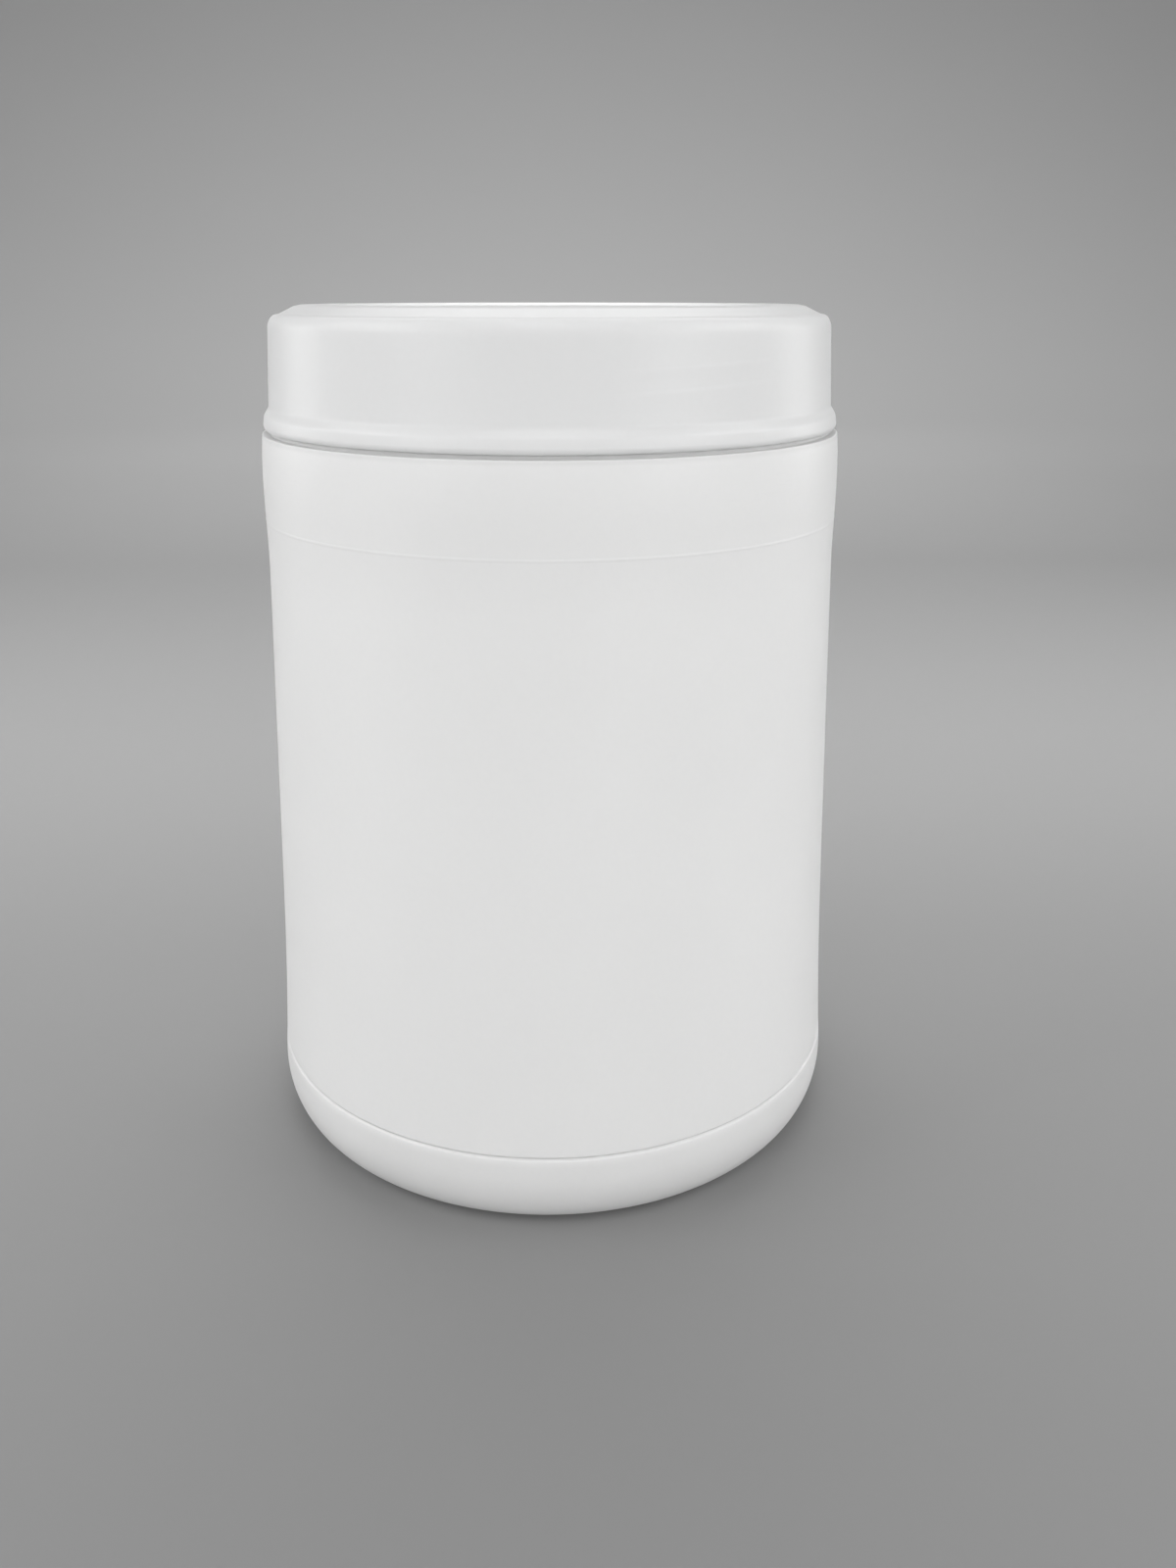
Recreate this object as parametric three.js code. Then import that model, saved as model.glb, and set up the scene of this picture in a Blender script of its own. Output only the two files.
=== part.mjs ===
import * as THREE from 'three';

// Shut wide-mouth plastic jar with a plain screw lid.
// Millimetres, +Z up, with the origin at the centre of the ring that the jar stands on.

// Smoothness of the turned shapes
const SEGMENTS = 72;
const CORNER_STEPS = 3;
const CURVE_STEPS = 4;
const EASE_STEPS = 6;
const HEEL_STEPS = 9;

// Jar body: the widest radius, shared by the crest of the shoulder and the top of the heel
const BODY_RADIUS = 50;

// Base: a flat standing ring round a shallow hollow
const STANDING_RING_OUTER = 43;
const STANDING_RING_WIDTH = 5;
const HOLLOW_DEPTH = 1.6;
const HOLLOW_SIDE_WIDTH = 3;
const HOLLOW_CROWN = 0.8;

// Heel: a quarter ellipse from the standing ring up to the widest radius
const HEEL_HEIGHT = 9.8;

// Groove: a narrow dip between the label panel and the lip of a nearly upright band above the heel
const LIP_HEIGHT = 12.85;
const LIP_DROP = 0.1;
const GROOVE_HEIGHT = 13.35;
const GROOVE_DEPTH = 0.38;
const GROOVE_TO_PANEL = 0.35;

// Label panel: a slightly waisted wall that flares at both ends
const PANEL_WAIST_RADIUS = 49.4;
const PANEL_TOP = 99;
const PANEL_FOOT_FLARE = 0.45;
const PANEL_FOOT_FLARE_FROM = 40;
const PANEL_HEAD_FLARE = 0.06;
const PANEL_HEAD_FLARE_FROM = 70;

// Thin raised line round the jar, where the label panel turns into the shoulder
const LINE_HEIGHT = 108.3;
const LINE_HALF_WIDTH = 0.3;
const LINE_RISE = 0.04;

// Shoulder: a soft bulge above the panel, with a rounded edge and a ledge below the lid
const SHOULDER_CREST = 117;
const SHOULDER_UPPER_DROP = 0.2;
const SHOULDER_EDGE_RADIUS = 0.2;
const LEDGE_HEIGHT = 122.8;

// Neck: closed, and out of sight inside the lid
const NECK_RADIUS = 45.5;
const NECK_TOP = 141.4;
const NECK_CHAMFER = 0.8;
const NECK_FILLET = 0.7;

// Lid, measured from its own lower edge
const LID_SEAT = 123.4;
const LID_HEIGHT = 20.8;
const LID_CLEARANCE = 0.5;
const LID_TOP_CLEARANCE = 0.4;
const LID_MOUTH_CHAMFER = 0.5;
const BEAD_RADIUS = 49.56;
const BEAD_LOWER_REACH = 0.7;
const BEAD_LOWER_RISE = 1;
const BEAD_FACE_TOP = 2.1;
const BEAD_FACE_DRAFT = 0.14;
const BEAD_TOP = 4.1;
const SKIRT_LOWER_RADIUS = 48.58;
const SKIRT_UPPER_RADIUS = 48.24;
const SKIRT_TOP = 16.8;
const SKIRT_EDGE_REACH = 1.45;
const SKIRT_EDGE_RISE = 2.4;
const STEP_INNER_RADIUS = 46.3;
const STEP_RISE = 0.12;
const PLATEAU_SLOPE_RADIUS = 43.9;
const PLATEAU_SLOPE_DROP = 0.25;
const PLATEAU_RADIUS = 42.7;
const TOP_RECESS_RADIUS = 38.5;
const TOP_RECESS_DEPTH = 0.5;
const TOP_RECESS_SIDE = 0.9;

// Points of an outline hold the distance from the axis as x and the height as y.
function at(radius, height) {
	return new THREE.Vector2(radius, height);
}

// A stretch of an ellipse, with angles in degrees from the outward direction.
function ellipseArc(centre, reach, rise, fromDegrees, toDegrees, steps) {
	const points = [];
	for (let i = 0; i <= steps; i++) {
		const degrees = THREE.MathUtils.lerp(fromDegrees, toDegrees, i / steps);
		const angle = THREE.MathUtils.degToRad(degrees);
		points.push(at(centre.x + reach * Math.cos(angle), centre.y + rise * Math.sin(angle)));
	}
	return points;
}

// A stretch of a parabola: its radius is that of the crest plus a growth that is full at the far end.
function parabola(crest, growth, farHeight, fromHeight, toHeight, steps) {
	const points = [];
	for (let i = 0; i <= steps; i++) {
		const height = THREE.MathUtils.lerp(fromHeight, toHeight, i / steps);
		const share = (height - crest.y) / (farHeight - crest.y);
		points.push(at(crest.x + growth * share * share, height));
	}
	return points;
}

// The point at a height on the S-shaped run between two points, which is upright at both ends.
function easedAt(from, to, height) {
	const share = THREE.MathUtils.smoothstep(height, from.y, to.y);
	return at(THREE.MathUtils.lerp(from.x, to.x, share), height);
}

// A stretch of the S-shaped run between two points.
function eased(from, to, fromHeight, toHeight, steps) {
	const points = [];
	for (let i = 0; i <= steps; i++) {
		points.push(easedAt(from, to, THREE.MathUtils.lerp(fromHeight, toHeight, i / steps)));
	}
	return points;
}

// A closed solid turned about +Z from an outline that starts and ends on the axis.
function turned(outline) {
	const geometry = new THREE.LatheGeometry(outline, SEGMENTS);
	geometry.rotateX(Math.PI / 2);
	return geometry;
}

function baseOutline() {
	const hollowRadius = STANDING_RING_OUTER - STANDING_RING_WIDTH - HOLLOW_SIDE_WIDTH;
	return [
		...ellipseArc(at(0, HOLLOW_DEPTH), hollowRadius, HOLLOW_CROWN, 90, 0, CORNER_STEPS).slice(0, -1),
		...ellipseArc(at(hollowRadius, 0), HOLLOW_SIDE_WIDTH, HOLLOW_DEPTH, 90, 0, CORNER_STEPS),
	];
}

function heelOutline() {
	const reach = BODY_RADIUS - STANDING_RING_OUTER;
	return ellipseArc(at(STANDING_RING_OUTER, HEEL_HEIGHT), reach, HEEL_HEIGHT, -90, 0, HEEL_STEPS);
}

function grooveOutline() {
	const widest = at(BODY_RADIUS, HEEL_HEIGHT);
	const lip = at(BODY_RADIUS - LIP_DROP, LIP_HEIGHT);
	const deepest = at(BODY_RADIUS - GROOVE_DEPTH, GROOVE_HEIGHT);
	return [
		...parabola(widest, -LIP_DROP, LIP_HEIGHT, HEEL_HEIGHT, LIP_HEIGHT, CORNER_STEPS).slice(1, -1),
		...eased(lip, deepest, LIP_HEIGHT, GROOVE_HEIGHT, CURVE_STEPS),
	];
}

function panelOutline() {
	const waistFoot = at(PANEL_WAIST_RADIUS, PANEL_FOOT_FLARE_FROM);
	const waistHead = at(PANEL_WAIST_RADIUS, PANEL_HEAD_FLARE_FROM);
	const bottom = GROOVE_HEIGHT + GROOVE_TO_PANEL;
	return [
		...parabola(waistFoot, PANEL_FOOT_FLARE, bottom, bottom, PANEL_FOOT_FLARE_FROM, CURVE_STEPS),
		...parabola(waistHead, PANEL_HEAD_FLARE, PANEL_TOP, PANEL_HEAD_FLARE_FROM, PANEL_TOP, CURVE_STEPS),
	];
}

function shoulderOutline() {
	const foot = at(PANEL_WAIST_RADIUS + PANEL_HEAD_FLARE, PANEL_TOP);
	const crest = at(BODY_RADIUS, SHOULDER_CREST);
	const underLine = LINE_HEIGHT - LINE_HALF_WIDTH;
	const overLine = LINE_HEIGHT + LINE_HALF_WIDTH;
	const lineTop = at(easedAt(foot, crest, LINE_HEIGHT).x + LINE_RISE, LINE_HEIGHT);
	const edgeStart = LEDGE_HEIGHT - SHOULDER_EDGE_RADIUS;
	const edgeCentre = at(BODY_RADIUS - SHOULDER_UPPER_DROP - SHOULDER_EDGE_RADIUS, edgeStart);
	return [
		...eased(foot, crest, PANEL_TOP, underLine, CURVE_STEPS).slice(1),
		lineTop,
		...eased(foot, crest, overLine, SHOULDER_CREST, CURVE_STEPS),
		...parabola(crest, -SHOULDER_UPPER_DROP, edgeStart, crest.y, edgeStart, CORNER_STEPS).slice(1, -1),
		...ellipseArc(edgeCentre, SHOULDER_EDGE_RADIUS, SHOULDER_EDGE_RADIUS, 0, 90, CURVE_STEPS),
	];
}

function neckOutline() {
	const filletCentre = at(NECK_RADIUS + NECK_FILLET, LEDGE_HEIGHT + NECK_FILLET);
	return [
		...ellipseArc(filletCentre, NECK_FILLET, NECK_FILLET, 270, 180, CORNER_STEPS),
		at(NECK_RADIUS, NECK_TOP - NECK_CHAMFER),
		at(NECK_RADIUS - NECK_CHAMFER, NECK_TOP),
		at(0, NECK_TOP),
	];
}

function lidInside() {
	const wall = NECK_RADIUS + LID_CLEARANCE;
	const ceiling = NECK_TOP + LID_TOP_CLEARANCE - LID_SEAT;
	return [
		at(0, ceiling),
		at(wall - NECK_CHAMFER, ceiling),
		at(wall, ceiling - NECK_CHAMFER),
		at(wall, LID_MOUTH_CHAMFER),
		at(wall + LID_MOUTH_CHAMFER, 0),
	];
}

function lidBead() {
	const lowerCentre = at(BEAD_RADIUS - BEAD_LOWER_REACH, BEAD_LOWER_RISE);
	const faceTop = at(BEAD_RADIUS - BEAD_FACE_DRAFT, BEAD_FACE_TOP);
	const skirtFoot = at(SKIRT_LOWER_RADIUS, BEAD_TOP);
	return [
		...ellipseArc(lowerCentre, BEAD_LOWER_REACH, BEAD_LOWER_RISE, -90, 0, CURVE_STEPS),
		...eased(faceTop, skirtFoot, BEAD_FACE_TOP, BEAD_TOP, EASE_STEPS),
	];
}

function lidTop() {
	const edgeCentre = at(SKIRT_UPPER_RADIUS - SKIRT_EDGE_REACH, SKIRT_TOP);
	return [
		...ellipseArc(edgeCentre, SKIRT_EDGE_REACH, SKIRT_EDGE_RISE, 0, 90, CURVE_STEPS),
		at(STEP_INNER_RADIUS, SKIRT_TOP + SKIRT_EDGE_RISE + STEP_RISE),
		at(PLATEAU_SLOPE_RADIUS, LID_HEIGHT - PLATEAU_SLOPE_DROP),
		at(PLATEAU_RADIUS, LID_HEIGHT),
		at(TOP_RECESS_RADIUS, LID_HEIGHT),
		at(TOP_RECESS_RADIUS - TOP_RECESS_SIDE, LID_HEIGHT - TOP_RECESS_DEPTH),
		at(0, LID_HEIGHT - TOP_RECESS_DEPTH),
	];
}

// The body stands on its ring, and its neck closes it at the top.
function makeJarBody() {
	const outline = [
		...baseOutline(),
		...heelOutline(),
		...grooveOutline(),
		...panelOutline(),
		...shoulderOutline(),
		...neckOutline(),
	];
	const plastic = new THREE.MeshStandardMaterial({ color: 0xe3e3e3, roughness: 0.42, metalness: 0 });
	const mesh = new THREE.Mesh(turned(outline), plastic);
	mesh.name = 'jar_body';
	return mesh;
}

// The lid is a cup turned over the neck, with a bead round its lower edge and a raised, recessed top.
function makeLid() {
	const outline = [...lidInside(), ...lidBead(), ...lidTop()];
	const plastic = new THREE.MeshStandardMaterial({ color: 0xdedede, roughness: 0.4, metalness: 0 });
	const mesh = new THREE.Mesh(turned(outline), plastic);
	mesh.name = 'lid';
	mesh.position.z = LID_SEAT;
	return mesh;
}

const jar = new THREE.Group();
jar.add(makeJarBody(), makeLid());

export default jar;
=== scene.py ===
"""Looks of a shut wide-mouth plastic jar with a plain screw lid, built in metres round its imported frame."""

import logging
import math
from dataclasses import dataclass, field
from enum import Enum
from typing import Any

import bpy
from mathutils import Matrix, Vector


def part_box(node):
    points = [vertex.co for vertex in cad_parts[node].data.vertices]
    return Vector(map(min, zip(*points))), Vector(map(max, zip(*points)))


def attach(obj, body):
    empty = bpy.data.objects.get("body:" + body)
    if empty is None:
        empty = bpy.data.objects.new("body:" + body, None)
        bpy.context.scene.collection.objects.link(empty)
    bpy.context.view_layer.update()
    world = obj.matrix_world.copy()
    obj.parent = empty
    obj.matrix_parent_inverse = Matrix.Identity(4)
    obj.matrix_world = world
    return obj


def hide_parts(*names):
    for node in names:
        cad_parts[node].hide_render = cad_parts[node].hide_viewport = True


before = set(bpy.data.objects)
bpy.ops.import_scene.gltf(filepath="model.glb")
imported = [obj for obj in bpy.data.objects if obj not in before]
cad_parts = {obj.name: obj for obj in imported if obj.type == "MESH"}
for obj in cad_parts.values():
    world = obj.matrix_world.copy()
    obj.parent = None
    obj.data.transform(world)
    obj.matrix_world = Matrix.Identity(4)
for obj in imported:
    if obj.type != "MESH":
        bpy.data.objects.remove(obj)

LOG = logging.getLogger("jar")
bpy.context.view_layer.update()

# Steps of the rounded stretches of an outline
CORNER_STEPS = 6
CURVE_STEPS = 12

# Half the angle from which a corner counts as straight
STRAIGHT_HALF_ANGLE = math.radians(89)

# Points of a turned mesh that are closer than this become one
MERGE_DISTANCE = 1e-6

# Distance between neighbouring nodes in the node editor
NODE_SPACING = 190.0

# The middle of the jar, which most lights face
JAR_MIDDLE = (0.0, 0.0, 0.0721)

# How far the light of a box with a grid fans out, in degrees
BEAM_SPREAD = 40.0

Point = tuple[float, float]
Spot = tuple[float, float, float]


class Body(Enum):
    """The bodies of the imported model."""

    ROOT = "root"


class CadNode(Enum):
    """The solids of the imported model."""

    JAR = "jar_body"
    LID = "lid"


class Slot(Enum):
    """The record's material slots."""

    JAR = "jar_plastic"
    LID = "lid_plastic"


class Tree(Enum):
    """The kinds of node tree that the script builds."""

    GEOMETRY = "GeometryNodeTree"
    SHADER = "ShaderNodeTree"


class Socket(Enum):
    """The kinds of socket on a node group."""

    GEOMETRY = "NodeSocketGeometry"
    MATERIAL = "NodeSocketMaterial"
    VECTOR = "NodeSocketVector"
    COLOUR = "NodeSocketColor"
    FLOAT = "NodeSocketFloat"
    COUNT = "NodeSocketInt"


class Graph:
    """A node tree under construction, whose nodes stand in one row from left to right."""

    def __init__(self, tree: bpy.types.NodeTree) -> None:
        """Takes the tree to add nodes to."""
        self.tree = tree
        self.next_x = 0.0

    @classmethod
    def group(cls, name: str, kind: Tree) -> "Graph":
        """Starts a new node group.

        Args:
            name: The group's name.
            kind: Whether it is a group for geometry or for shaders.

        Returns:
            The graph of the empty group.
        """
        return cls(bpy.data.node_groups.new(name, kind.value))

    def opening(self, *numbers: str, **sockets: Socket) -> dict[str, bpy.types.NodeSocket]:
        """Adds the group's inputs.

        Args:
            *numbers: The names of the inputs that are plain numbers.
            **sockets: The kind of each other input, by its name.

        Returns:
            The sockets that bring the inputs into the group, by these names.
        """
        for name, kind in {**sockets, **dict.fromkeys(numbers, Socket.FLOAT)}.items():
            self.tree.interface.new_socket(name, in_out="INPUT", socket_type=kind.value)
        return dict(self.add("NodeGroupInput").outputs.items())

    def closing(self, name: str, kind: Socket, value: Any) -> "Graph":
        """Adds the group's only output and feeds it.

        Args:
            name: The output's name.
            kind: The output's kind.
            value: The socket that feeds it.

        Returns:
            The graph itself, now complete.
        """
        self.tree.interface.new_socket(name, in_out="OUTPUT", socket_type=kind.value)
        self.add("NodeGroupOutput", {name: value})
        return self

    def add(self, kind: str, inputs: dict[str | int, Any] | None = None, **settings: Any) -> bpy.types.Node:
        """Adds a node.

        Args:
            kind: The node's type.
            inputs: Values or sockets for its inputs, by their names or numbers.
            **settings: Values for its properties.

        Returns:
            The new node.
        """
        node = self.tree.nodes.new(kind)
        node.location = (self.next_x, 0.0)
        self.next_x += NODE_SPACING
        for name, value in settings.items():
            setattr(node, name, value)
        for key, value in (inputs or {}).items():
            self.feed(node.inputs[key], value)
        return node

    def place(self, group: "Graph", values: dict[str, Any]) -> bpy.types.NodeSocket:
        """Adds a node that stands for another group.

        Args:
            group: The graph of the group.
            values: Values or sockets for its inputs, by their names. Other names are passed over.

        Returns:
            The socket of the group's output.
        """
        kind = "GeometryNodeGroup" if self.tree.bl_idname == Tree.GEOMETRY.value else "ShaderNodeGroup"
        node = self.add(kind, node_tree=group.tree)
        for socket in node.inputs:
            if socket.name in values:
                self.feed(socket, values[socket.name])
        return node.outputs[0]

    def feed(self, socket: bpy.types.NodeSocket, value: Any) -> None:
        """Links a socket to the one that feeds it, or gives it a plain value.

        Args:
            socket: The input socket.
            value: An output socket or a plain value.
        """
        if isinstance(value, bpy.types.NodeSocket):
            self.tree.links.new(value, socket)
        else:
            socket.default_value = value

    def math(self, operation: str, *operands: Any) -> bpy.types.NodeSocket:
        """Adds a sum on numbers.

        Args:
            operation: The name of the operation.
            *operands: One to three numbers or sockets.

        Returns:
            The result's socket.
        """
        return self.add("ShaderNodeMath", dict(enumerate(operands)), operation=operation).outputs[0]

    def product(self, first: Any, *others: Any) -> bpy.types.NodeSocket:
        """Adds the product of several numbers.

        Args:
            first: The first number or socket.
            *others: The numbers or sockets that it is multiplied by.

        Returns:
            The result's socket.
        """
        for factor in others:
            first = self.math("MULTIPLY", first, factor)
        return first

    def axes(self, vector: Any) -> Any:
        """Adds the split of a vector, and returns the sockets of its X, Y and Z."""
        return self.add("ShaderNodeSeparateXYZ", {"Vector": vector}).outputs

    def joined(self, x: Any, y: Any, z: Any) -> bpy.types.NodeSocket:
        """Adds a vector made of three numbers, and returns its socket."""
        return self.add("ShaderNodeCombineXYZ", {"X": x, "Y": y, "Z": z}).outputs[0]

    def position(self) -> bpy.types.NodeSocket:
        """Adds the place of each point, and returns its socket."""
        return self.add("GeometryNodeInputPosition").outputs[0]

    def scaled(self, vector: Any, factor: Any) -> bpy.types.NodeSocket:
        """Adds a vector times a number, and returns its socket."""
        node = self.add("ShaderNodeVectorMath", {"Vector": vector, "Scale": factor}, operation="SCALE")
        return node.outputs["Vector"]

    def noise(self, vector: Any, size: Any, seed: float, detail: float = 0.0) -> bpy.types.NodeSocket:
        """Adds a cloudy pattern from 0 to 1.

        Args:
            vector: The coordinates, in metres.
            size: The size of one cloud, in metres.
            seed: A fixed number that picks the pattern.
            detail: How many finer layers the clouds have.

        Returns:
            The pattern's socket.
        """
        scale = self.math("DIVIDE", 1.0, size)
        values = {"Vector": vector, "W": seed, "Scale": scale, "Detail": detail}
        return self.add("ShaderNodeTexNoise", values, noise_dimensions="4D").outputs[0]

    def swing(self, vector: Any, size: Any, seed: float, detail: float = 0.0) -> bpy.types.NodeSocket:
        """Adds a cloudy pattern from -0.5 to 0.5, with the settings of noise, and returns its socket."""
        return self.math("SUBTRACT", self.noise(vector, size, seed, detail), 0.5)

    def smooth_step(self, value: Any, start: Any, stop: Any) -> bpy.types.NodeSocket:
        """Adds a soft change from 0 to 1.

        Args:
            value: The number that is compared.
            start: Where the change starts.
            stop: Where the change is complete.

        Returns:
            The result's socket.
        """
        values = {"Value": value, "From Min": start, "From Max": stop}
        return self.add("ShaderNodeMapRange", values, interpolation_type="SMOOTHSTEP").outputs["Result"]


def named_values(described: Any) -> dict[str, Any]:
    """Returns the fields of a dataclass by their names as the node groups write them."""
    return {name.replace("_", " ").title(): value for name, value in vars(described).items()}


@dataclass(frozen=True)
class Corner:
    """A point of an outline, rounded by an arc if its rounding is above 0."""

    radius: float
    height: float
    rounding: float = 0.0

    def flat(self) -> Vector:
        """The point as a flat vector."""
        return Vector((self.radius, self.height))


def spaced(start: float, stop: float, steps: int) -> list[float]:
    """Returns evenly spaced numbers with both ends."""
    return [start + (stop - start) * step / steps for step in range(steps + 1)]


def ellipse_arc(
    centre: Point, reach: float, rise: float, start: float, stop: float, steps: int
) -> list[Corner]:
    """Makes a stretch of an ellipse.

    Args:
        centre: The centre's distance from the axis and its height.
        reach: The ellipse's half width.
        rise: The ellipse's half height.
        start: The first angle, in degrees from the outward direction.
        stop: The last angle.
        steps: The number of steps between them.

    Returns:
        The points, with both ends.
    """
    angles = [math.radians(angle) for angle in spaced(start, stop, steps)]
    return [Corner(centre[0] + reach * math.cos(a), centre[1] + rise * math.sin(a)) for a in angles]


def parabola(crest: Point, growth: float, far: float, start: float, stop: float, steps: int) -> list[Corner]:
    """Makes a stretch of wall that leaves its crest ever faster.

    Args:
        crest: The crest's distance from the axis and its height.
        growth: How far the wall has moved outwards at the far height.
        far: The height where the growth is full.
        start: The first height.
        stop: The last height.
        steps: The number of steps between them.

    Returns:
        The points, with both ends.
    """
    shares = [(height, (height - crest[1]) / (far - crest[1])) for height in spaced(start, stop, steps)]
    return [Corner(crest[0] + growth * share**2, height) for height, share in shares]


def eased(start: Point, stop: Point, first: float, last: float, steps: int) -> list[Corner]:
    """Makes a stretch of an S-shaped run that is upright at both of its ends.

    Args:
        start: The run's lower end, as a distance from the axis and a height.
        stop: The run's upper end.
        first: The stretch's first height.
        last: The stretch's last height.
        steps: The number of steps between them.

    Returns:
        The points, with both ends.
    """
    heights = spaced(first, last, steps)
    shares = [(height - start[1]) / (stop[1] - start[1]) for height in heights]
    growths = [(stop[0] - start[0]) * share * share * (3.0 - 2.0 * share) for share in shares]
    return [Corner(start[0] + growth, height) for growth, height in zip(growths, heights)]


def straight(start: Corner, stop: Corner, steps: int) -> list[Corner]:
    """Divides a straight stretch.

    Args:
        start: The first point, which keeps its rounding.
        stop: The last point, which keeps its rounding.
        steps: The number of steps between them.

    Returns:
        The points, with both ends.
    """
    shares = [step / steps for step in range(1, steps)]
    between = [start.flat().lerp(stop.flat(), share) for share in shares]
    return [start, *[Corner(point.x, point.y) for point in between], stop]


def rounded(corner: Corner, before: Vector, after: Vector) -> list[Vector]:
    """Rounds one corner of an outline.

    Args:
        corner: The corner.
        before: The point before it.
        after: The point after it.

    Returns:
        The points of the arc that takes the corner's place, or the corner alone.
    """
    here = corner.flat()
    back, ahead = (before - here).normalized(), (after - here).normalized()
    half = back.angle(ahead) / 2
    if corner.rounding <= 0 or half > STRAIGHT_HALF_ANGLE:
        return [here]
    reach = corner.rounding / math.tan(half)
    centre = here + (back + ahead).normalized() * (corner.rounding / math.sin(half))
    first, last = here + back * reach - centre, here + ahead * reach - centre
    turn = first.angle_signed(last)
    arc = []
    for step in range(CORNER_STEPS + 1):
        angle = -turn * step / CORNER_STEPS
        cosine, sine = math.cos(angle), math.sin(angle)
        arc.append(centre + Vector((first.x * cosine - first.y * sine, first.x * sine + first.y * cosine)))
    return arc


def soften(corners: list[Corner]) -> list[Vector]:
    """Rounds the corners of an outline.

    Args:
        corners: The outline's points from first to last.

    Returns:
        The finished outline.
    """
    finished = [corners[0].flat()]
    for before, corner, after in zip(corners, corners[1:], corners[2:]):
        finished += rounded(corner, before.flat(), after.flat())
    return [*finished, corners[-1].flat()]


def turned_shape() -> Graph:
    """Builds the group that turns an outline about the upright axis.

    The columns of the mesh may crowd together at the mould's parting plane.

    Returns:
        The graph of the group.
    """
    graph = Graph.group("turned_shape", Tree.GEOMETRY)
    value = graph.opening("Crowding", "Plane Angle", Outline=Socket.GEOMETRY, Columns=Socket.COUNT)
    outline, columns = value["Outline"], value["Columns"]
    points = graph.add("GeometryNodeAttributeDomainSize", {"Geometry": outline}, component="MESH")
    count = points.outputs["Point Count"]
    rows = graph.math("SUBTRACT", count, 1)
    across = graph.math("ADD", columns, 1)
    sizes = {"Size X": columns, "Size Y": rows, "Vertices X": across, "Vertices Y": count}
    grid = graph.add("GeometryNodeMeshGrid", sizes)
    x, y, _ = graph.axes(graph.position())
    row = graph.math("ROUND", graph.math("MULTIPLY_ADD", rows, 0.5, y))
    source = {"Geometry": outline, "Value": graph.position(), "Index": row}
    sample = graph.add("GeometryNodeSampleIndex", source, data_type="FLOAT_VECTOR")
    radius, _, height = graph.axes(sample.outputs["Value"])
    even = graph.math("MULTIPLY", graph.math("DIVIDE", x, columns), math.tau)
    swing = graph.math("SINE", graph.math("MULTIPLY", even, 2.0))
    pull = graph.math("MULTIPLY", value["Crowding"], 0.5)
    crowded = graph.math("SUBTRACT", even, graph.math("MULTIPLY", swing, pull))
    angle = graph.math("ADD", crowded, value["Plane Angle"])
    ahead = graph.math("MULTIPLY", radius, graph.math("COSINE", angle))
    aside = graph.math("MULTIPLY", radius, graph.math("SINE", angle))
    placed = {"Geometry": grid.outputs["Mesh"], "Position": graph.joined(ahead, aside, height)}
    moved = graph.add("GeometryNodeSetPosition", placed)
    joining = {"Geometry": moved.outputs[0], "Distance": MERGE_DISTANCE}
    merged = graph.add("GeometryNodeMergeByDistance", joining)
    return graph.closing("Geometry", Socket.GEOMETRY, merged.outputs[0])


def relief(graph: Graph, geometry: bpy.types.NodeSocket, height: Any) -> bpy.types.NodeSocket:
    """Moves the points of a surface along its normals.

    Args:
        graph: The graph to add to.
        geometry: The surface.
        height: How far each point moves outwards, in metres.

    Returns:
        The moved surface.
    """
    normal = graph.add("GeometryNodeInputNormal").outputs["Normal"]
    values = {"Geometry": geometry, "Offset": graph.scaled(normal, height)}
    return graph.add("GeometryNodeSetPosition", values).outputs[0]


def parting_relief() -> Graph:
    """Builds the group that raises the line where the mould's halves met, and the welded seam of the base.

    Returns:
        The graph of the group.
    """
    graph = Graph.group("parting_relief", Tree.GEOMETRY)
    line_sizes = ("Line Height", "Line Width")
    seam_sizes = ("Seam Height", "Seam Width", "Seam Reach")
    value = graph.opening("Plane Angle", *line_sizes, *seam_sizes, "Clear Below", Geometry=Socket.GEOMETRY)
    ridge_sharpness, seam_fades_from = -4.0, 0.92
    x, y, z = graph.axes(graph.position())
    sine, cosine = graph.math("SINE", value["Plane Angle"]), graph.math("COSINE", value["Plane Angle"])
    across = graph.math("SUBTRACT", graph.math("MULTIPLY", y, cosine), graph.math("MULTIPLY", x, sine))
    along = graph.math("ADD", graph.math("MULTIPLY", x, cosine), graph.math("MULTIPLY", y, sine))

    def ridge(width: bpy.types.NodeSocket, tall: bpy.types.NodeSocket) -> bpy.types.NodeSocket:
        """Adds a rounded ridge along the parting plane.

        Args:
            width: The socket of its width.
            tall: The socket of its full height.

        Returns:
            The socket of its height at each point.
        """
        share = graph.math("DIVIDE", across, width)
        fall = graph.math("EXPONENT", graph.product(share, share, ridge_sharpness))
        return graph.math("MULTIPLY", fall, tall)

    line = ridge(value["Line Width"], value["Line Height"])
    wall = graph.math("MULTIPLY", line, graph.smooth_step(z, 0.0, value["Clear Below"]))
    reach = value["Seam Reach"]
    fade = graph.math("MULTIPLY", reach, seam_fades_from)
    near = graph.smooth_step(graph.math("ABSOLUTE", along), reach, fade)
    low = graph.smooth_step(z, graph.math("MULTIPLY", value["Clear Below"], 2.0), value["Clear Below"])
    seam = graph.product(ridge(value["Seam Width"], value["Seam Height"]), near, low)
    moved = relief(graph, value["Geometry"], graph.math("ADD", wall, seam))
    return graph.closing("Geometry", Socket.GEOMETRY, moved)


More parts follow.
